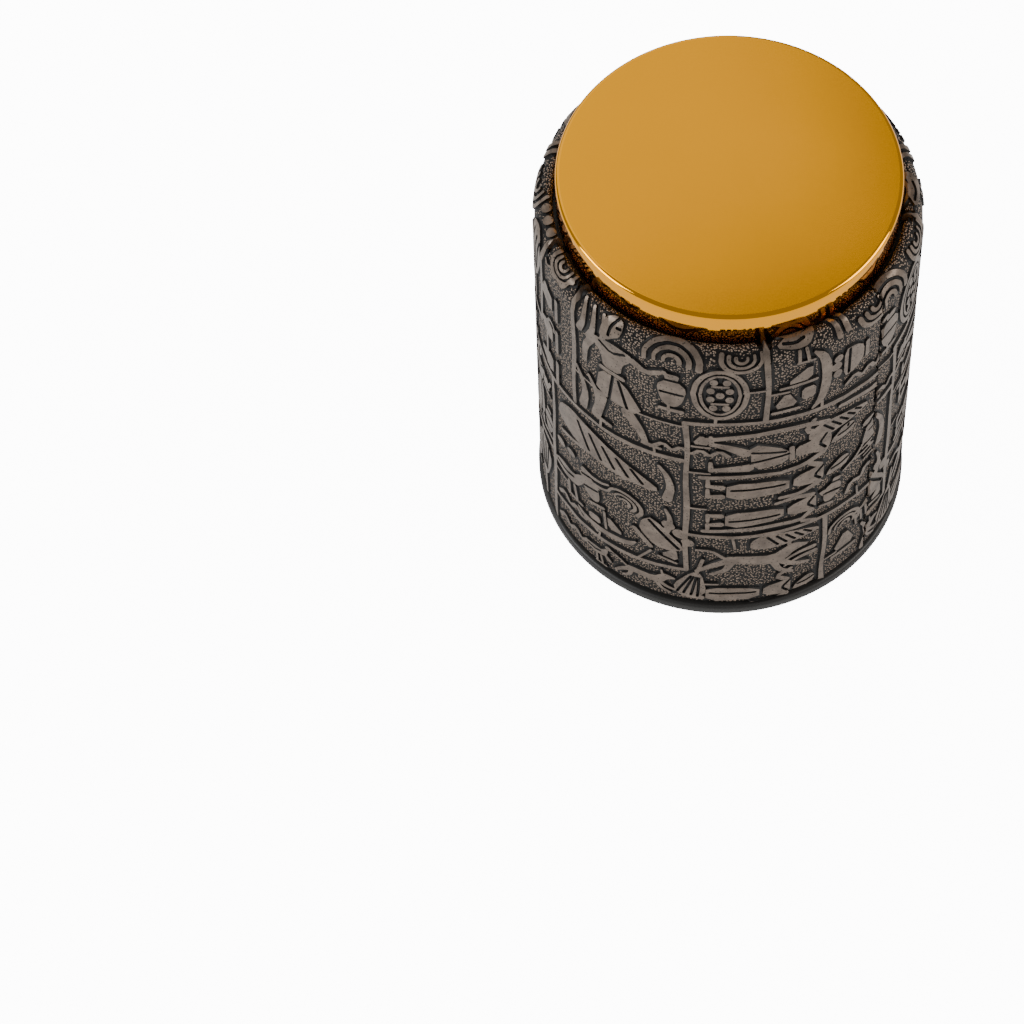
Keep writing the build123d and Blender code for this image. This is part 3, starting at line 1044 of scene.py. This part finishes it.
for finish in (pebbled, border, bronze):
    strip_mesh.materials.append(finish)
strip_mesh.polygons.foreach_set("material_index", slots)
strip_mesh.update()
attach(leather, "cup")
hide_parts("leather_cover")


# ---- Foam layer ----
# Thin closed-cell foam wrapped round the shell and rolled over its shoulder, under the
# leather. It gives the cup its soft, padded shoulder, and a disc of it bonds the cap.
foam_low, foam_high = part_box("foam_wrap")
foam_inset = WALL_RADIUS - foam_high[0] / MM
foam_bore = shell_radius + 0.1 * MM
outline = [(foam_bore, foam_low[2]), (foam_high[0], foam_low[2])]
for (r0, z0), (r1, z1) in zip(section[1:], section[2:]):
    size = hypot(r1 - r0, z1 - z0)
    inset_r, inset_z = (z1 - z0) / size * foam_inset, (r1 - r0) / size * foam_inset
    outline.append(((r1 - inset_r) * MM, (z1 + inset_z) * MM))
outline[-1] = (outline[-1][0], shoulder)
foam = turned("foam_layer", outline + [(foam_bore, shoulder)])
cells, nodes, links, shader = material("closed_cell_foam", (0.6, 0.57, 0.5), 0.95)
place_on = node(nodes, links, "ShaderNodeTexCoord").outputs["Object"]
bubbles = node(nodes, links, "ShaderNodeTexVoronoi", Vector=place_on, Scale=1800)
bump = node(nodes, links, "ShaderNodeBump", Height=bubbles.outputs["Distance"],
            Strength=0.5, Distance=0.1 * MM)
links.new(bump.outputs["Normal"], shader.inputs["Normal"])
foam.data.materials.append(cells)
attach(foam, "cup")
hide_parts("foam_wrap")

bond_low, bond_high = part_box("cap_bond_pad")
bond = turned("bond_disc", [
    (0, bond_low[2]),
    (bond_high[0], bond_low[2], 0.2 * MM),
    (bond_high[0], bond_high[2], 0.2 * MM),
    (0, bond_high[2]),
])
bond.data.materials.append(cells)
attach(bond, "cup")
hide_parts("cap_bond_pad")


# ---- End cap ----
# A shallow cap drawn from sheet metal and anodised gold, bonded over the shell's neck.
# Its face is finely blasted to a satin; the rolled edge and the wall are polished.
cap_metal = 1 * MM
cap_radius, cap_top = cap_high[0], cap_high[2]
cap = turned("gold_cap", [
    (cap_radius - cap_metal, cap_low[2], 0.15 * MM),
    (cap_radius, cap_low[2], 0.15 * MM),
    (cap_radius, cap_top, 0.9 * MM),
    (0, cap_top),
    (0, cap_top - cap_metal),
    (cap_radius - cap_metal, cap_top - cap_metal, 0.3 * MM),
])
polished, nodes, links, shader = material("polished_gold", (1.0, 0.43, 0.012), 0.06, 1)
place_on = node(nodes, links, "ShaderNodeTexCoord").outputs["Object"]
ripple = node(nodes, links, "ShaderNodeTexNoise", Vector=place_on, Scale=60, Detail=2)
bump = node(nodes, links, "ShaderNodeBump", Height=ripple.outputs["Fac"], Strength=0.05, Distance=0.2 * MM)
links.new(bump.outputs["Normal"], shader.inputs["Normal"])
cap.data.materials.append(polished)

satin, nodes, links, shader = material("satin_gold", (0.9, 0.38, 0.0006), 0.24, 1)
place_on = node(nodes, links, "ShaderNodeTexCoord").outputs["Object"]
blasting = node(nodes, links, "ShaderNodeTexNoise", Vector=place_on, Scale=5200, Detail=2)
patches = node(nodes, links, "ShaderNodeTexNoise", Vector=place_on, Scale=45, Detail=4)
rough = node(nodes, links, "ShaderNodeMapRange", Value=patches.outputs["Fac"], To_Min=0.2, To_Max=0.28)
links.new(rough.outputs["Result"], shader.inputs["Roughness"])
bump = node(nodes, links, "ShaderNodeBump", Height=blasting.outputs["Fac"],
            Strength=0.22, Distance=0.02 * MM)
links.new(bump.outputs["Normal"], shader.inputs["Normal"])
cap.data.materials.append(satin)
for face in cap.data.polygons:
    if face.center.z > cap_top - 1e-6:
        face.material_index = 1
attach(cap, "cup")
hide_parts("end_cap")
